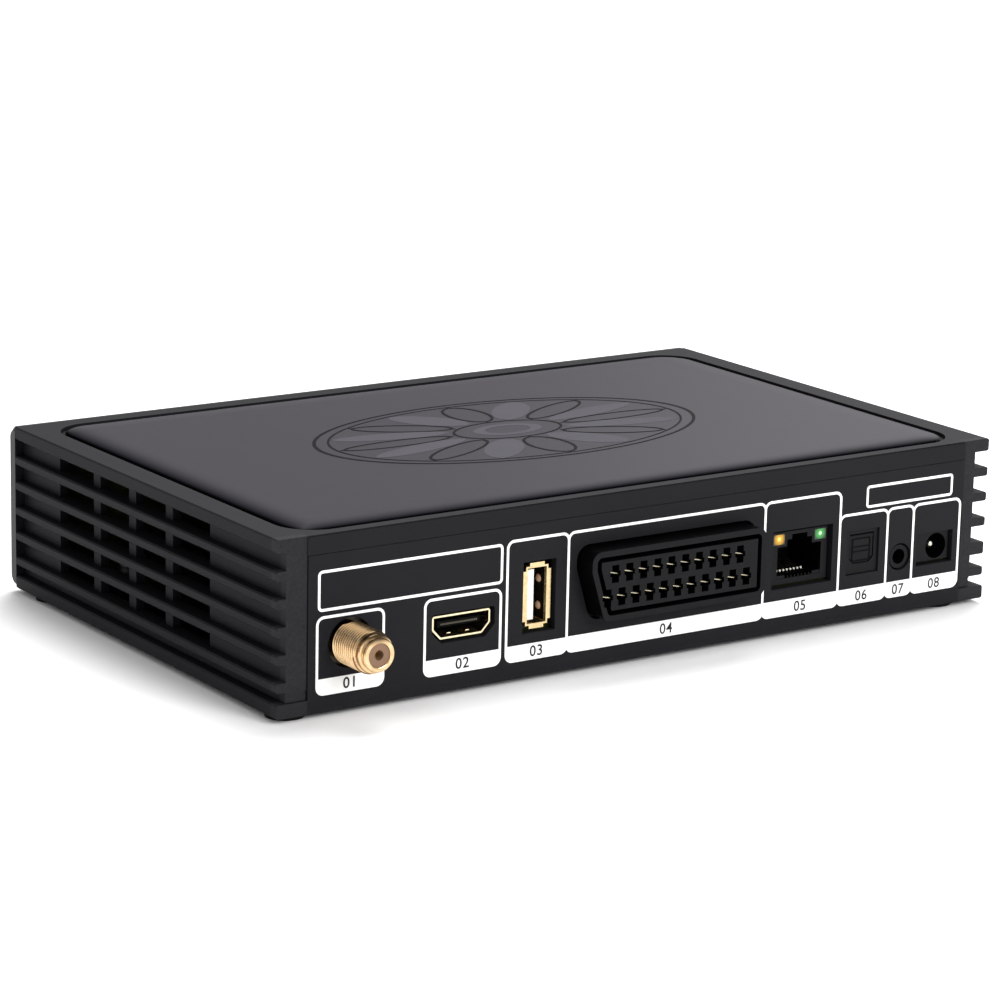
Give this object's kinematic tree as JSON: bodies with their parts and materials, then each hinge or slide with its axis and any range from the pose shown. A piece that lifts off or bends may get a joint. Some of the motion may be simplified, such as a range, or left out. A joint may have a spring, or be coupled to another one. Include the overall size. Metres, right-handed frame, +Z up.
{
  "type": "satellite tv receiver",
  "caption": "Small set-top receiver in a finned, vented black case with antenna, video, audio, data and power sockets on the rear and keys and a display on the front.",
  "frame": {"origin": "centre of the whole outline seen from above, at the level of the feet's undersides", "axes": "+Z up, -Y the front with the display and keys, +Y the rear with the sockets"},
  "size_m": [0.194, 0.1344, 0.0403],
  "materials": {
    "black_abs": "fine matte texture, moulded",
    "satin_black": "satin",
    "smoked_window": "gloss, smoked",
    "key_plastic": "satin",
    "red_lamp": "clear red, gloss",
    "yellow_lamp": "diffused, gloss",
    "green_lamp": "diffused, gloss",
    "grey_display": "gloss",
    "board_green": "solder resist",
    "tinned_steel": "tinned, satin",
    "nickel_barrel": "pale nickel over brass",
    "beige_insulator": "satin",
    "white_insulator": "satin",
    "black_socket": "satin",
    "gold_contact": "bright",
    "screw_steel": "zinc plated",
    "chip_black": "moulded epoxy",
    "black_aluminium": "anodised",
    "can_aluminium": "drawn can",
    "choke_grey": "ferrite",
    "foot_rubber": "matte",
    "ribbon_grey": "flexible"
  },
  "bodies": {
    "cabinet": {"base_tray": "black_abs", "top_cover": "black_abs", "front_fascia": "satin_black", "display_lens": "smoked_window", "display_module": "grey_display", "infrared_receiver": "smoked_window", "standby_lamp": "red_lamp", "tact_switches": "tinned_steel", "front_board": "board_green", "front_board_screws": "screw_steel", "rubber_feet": "foot_rubber", "case_screws": "screw_steel", "board_screws": "screw_steel", "main_board": "board_green", "tuner_can": "tinned_steel", "f_barrel": "nickel_barrel", "f_insulator": "beige_insulator", "f_contact": "gold_contact", "hdmi_shell": "tinned_steel", "hdmi_insulator": "black_socket", "usb_shell": "tinned_steel", "usb_insulator": "white_insulator", "scart_housing": "black_socket", "scart_contacts": "tinned_steel", "ethernet_jack": "black_socket", "ethernet_contacts": "gold_contact", "ethernet_lamp_yellow": "yellow_lamp", "ethernet_lamp_green": "green_lamp", "optical_housing": "black_socket", "optical_emitter": "red_lamp", "data_jack": "black_socket", "power_jack": "black_socket", "power_jack_pin": "tinned_steel", "processor": "chip_black", "heatsink": "black_aluminium", "memory_chips": "chip_black", "flash_chip": "chip_black", "big_capacitors": "can_aluminium", "small_capacitors": "can_aluminium", "chokes": "choke_grey", "crystal": "tinned_steel", "regulators": "chip_black", "ribbon_headers": "white_insulator", "ribbon_cable": "ribbon_grey"},
    "standby_button": {"standby_key": "key_plastic", "standby_plunger": "black_socket"},
    "channel_up_button": {"channel_up_key": "key_plastic", "channel_up_plunger": "black_socket"},
    "channel_down_button": {"channel_down_key": "key_plastic", "channel_down_plunger": "black_socket"},
    "optical_shutter": {"optical_shutter": "black_socket"}
  },
  "joints": [
    {"name": "standby_press", "type": "slide", "parent": "cabinet", "child": "standby_button", "axis": [0, 1, 0], "range_m": [0, 0.0004], "stiffness_N_per_m": 2000},
    {"name": "channel_up_press", "type": "slide", "parent": "cabinet", "child": "channel_up_button", "axis": [0, 1, 0], "range_m": [0, 0.0004], "stiffness_N_per_m": 2000},
    {"name": "channel_down_press", "type": "slide", "parent": "cabinet", "child": "channel_down_button", "axis": [0, 1, 0], "range_m": [0, 0.0004], "stiffness_N_per_m": 2000},
    {"name": "shutter_hinge", "type": "hinge", "parent": "cabinet", "child": "optical_shutter", "pos_m": [-0.05965, 0.05455, 0.02085], "axis": [-1, 0, 0], "range_deg": [0, 80], "stiffness_Nm_per_rad": 0.0002}
  ]
}
